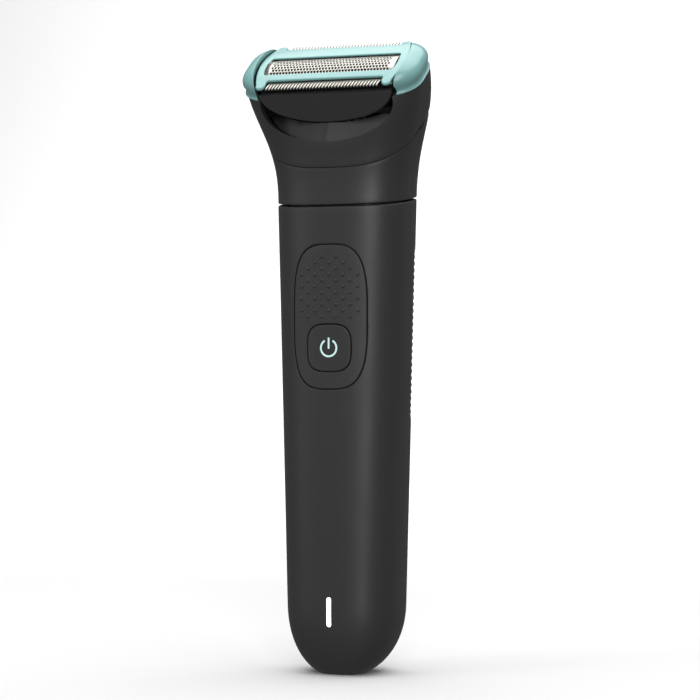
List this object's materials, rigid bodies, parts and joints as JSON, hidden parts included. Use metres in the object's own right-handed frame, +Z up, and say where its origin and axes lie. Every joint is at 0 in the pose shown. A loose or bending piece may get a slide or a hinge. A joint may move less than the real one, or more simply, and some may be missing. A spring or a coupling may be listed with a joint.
{
  "type": "body groomer",
  "caption": "Cordless foil body groomer: tapered charcoal handle with a push button, and a forward-leaning head with an arched foil between two toothed trimmers.",
  "frame": {"origin": "where the drive's upright axis meets the plane that the handle stands on", "axes": "+Z up along the handle, -Y is the control side, +X to the right seen from the front"},
  "size_m": [0.051, 0.0334, 0.1702],
  "materials": {
    "body_plastic": "fine matte texture",
    "panel_plastic": "smooth satin",
    "inlay_rubber": "soft matte",
    "button_plastic": "fine matte texture",
    "symbol_plastic": "smooth",
    "light_plastic": "clear, lit white",
    "grip_rubber": "matte with low dots",
    "mint_plastic": "satin gloss",
    "foil_steel": "polished, perforated",
    "blade_steel": "ground",
    "cutter_steel": "blackened",
    "inner_plastic": "moulded black",
    "drive_plastic": "natural acetal",
    "bush_brass": "turned",
    "seal_rubber": "smooth silicone",
    "plain_steel": "plated",
    "cell_can": "printed sleeve, no text",
    "nickel": "plated",
    "board": "solder mask",
    "chip_black": "moulded"
  },
  "bodies": {
    "handle": {"handle_shell": "body_plastic", "control_inlay": "inlay_rubber", "light_pipe": "light_plastic", "back_grip": "grip_rubber", "coupling_deck": "body_plastic", "deck_seal": "seal_rubber", "shaft_seal": "seal_rubber", "deck_screws": "plain_steel", "chassis": "inner_plastic", "motor_can": "plain_steel", "battery": "cell_can", "battery_tabs": "nickel", "circuit_board": "board", "tactile_switch": "chip_black", "charge_light": "light_plastic", "board_chips": "chip_black", "button_membrane": "seal_rubber", "charging_socket": "inner_plastic", "charging_contacts": "nickel", "socket_seal": "seal_rubber"},
    "button": {"power_button": "button_plastic", "power_symbol": "symbol_plastic"},
    "rotor": {"motor_shaft": "plain_steel", "drive_hub": "drive_plastic"},
    "head": {"neck_shell": "body_plastic", "head_housing": "body_plastic", "front_panel": "panel_plastic", "side_cap_left": "mint_plastic", "side_cap_right": "mint_plastic", "drive_plate": "inner_plastic", "spindle_bush": "bush_brass", "latch_clips": "plain_steel", "cradle": "inner_plastic", "cassette_springs": "plain_steel"},
    "spindle": {"spindle": "drive_plastic"},
    "cassette": {"foil_frame": "mint_plastic", "foil": "foil_steel", "front_comb": "blade_steel", "back_comb": "blade_steel", "cassette_carrier": "inner_plastic"},
    "cutters": {"front_blade": "blade_steel", "back_blade": "blade_steel", "cutter_block": "cutter_steel", "drive_bridge": "drive_plastic"}
  },
  "joints": [
    {"name": "button_press", "type": "slide", "parent": "handle", "child": "button", "axis": [0, 1, 0], "range_m": [0, 0.0005], "stiffness_N_per_m": 800, "springref_m": -0.001},
    {"name": "motor_spin", "type": "hinge", "parent": "handle", "child": "rotor", "pos_m": [0, 0, 0.127], "axis": [0, 0, 1], "continuous": true},
    {"name": "head_pull", "type": "slide", "parent": "handle", "child": "head", "axis": [0, 0, 1], "range_m": [0, 0.02]},
    {"name": "spindle_spin", "type": "hinge", "parent": "head", "child": "spindle", "pos_m": [0, 0, 0.141], "axis": [0, 0, 1], "continuous": true},
    {"name": "cassette_float", "type": "slide", "parent": "head", "child": "cassette", "axis": [0, 0.5878, -0.809], "range_m": [0, 0.001], "stiffness_N_per_m": 600, "springref_m": -0.001, "deforming": ["cassette_springs"]},
    {"name": "cutter_slide", "type": "slide", "parent": "cassette", "child": "cutters", "axis": [1, 0, 0], "range_m": [-0.0008, 0.0008]}
  ],
  "couplings": [
    {"joint": "spindle_spin", "follows": "motor_spin", "ratio": 1}
  ]
}
